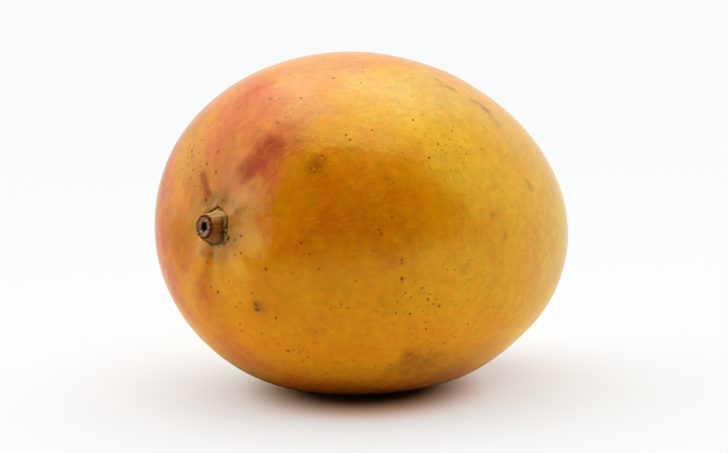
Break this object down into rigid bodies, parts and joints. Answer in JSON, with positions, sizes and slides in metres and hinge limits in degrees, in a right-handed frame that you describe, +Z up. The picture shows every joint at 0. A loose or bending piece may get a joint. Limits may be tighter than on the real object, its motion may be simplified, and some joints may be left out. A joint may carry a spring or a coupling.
{
  "type": "mango",
  "caption": "Ripe whole mango with a short cut stem, lying on one cheek on a small flat spot; a fruit to set out, pick up or pack.",
  "frame": {"origin": "middle of the flat spot that the fruit rests on", "axes": "+Z up from the table, +X from the stem end to the apex, +Y towards the fuller back edge"},
  "size_m": [0.1126, 0.093, 0.0835],
  "materials": {
    "skin": "waxy, smooth, half gloss",
    "stem_wood": "rough bark with a cut end"
  },
  "bodies": {
    "root": {"fruit": "skin", "stem": "stem_wood"}
  },
  "joints": []
}
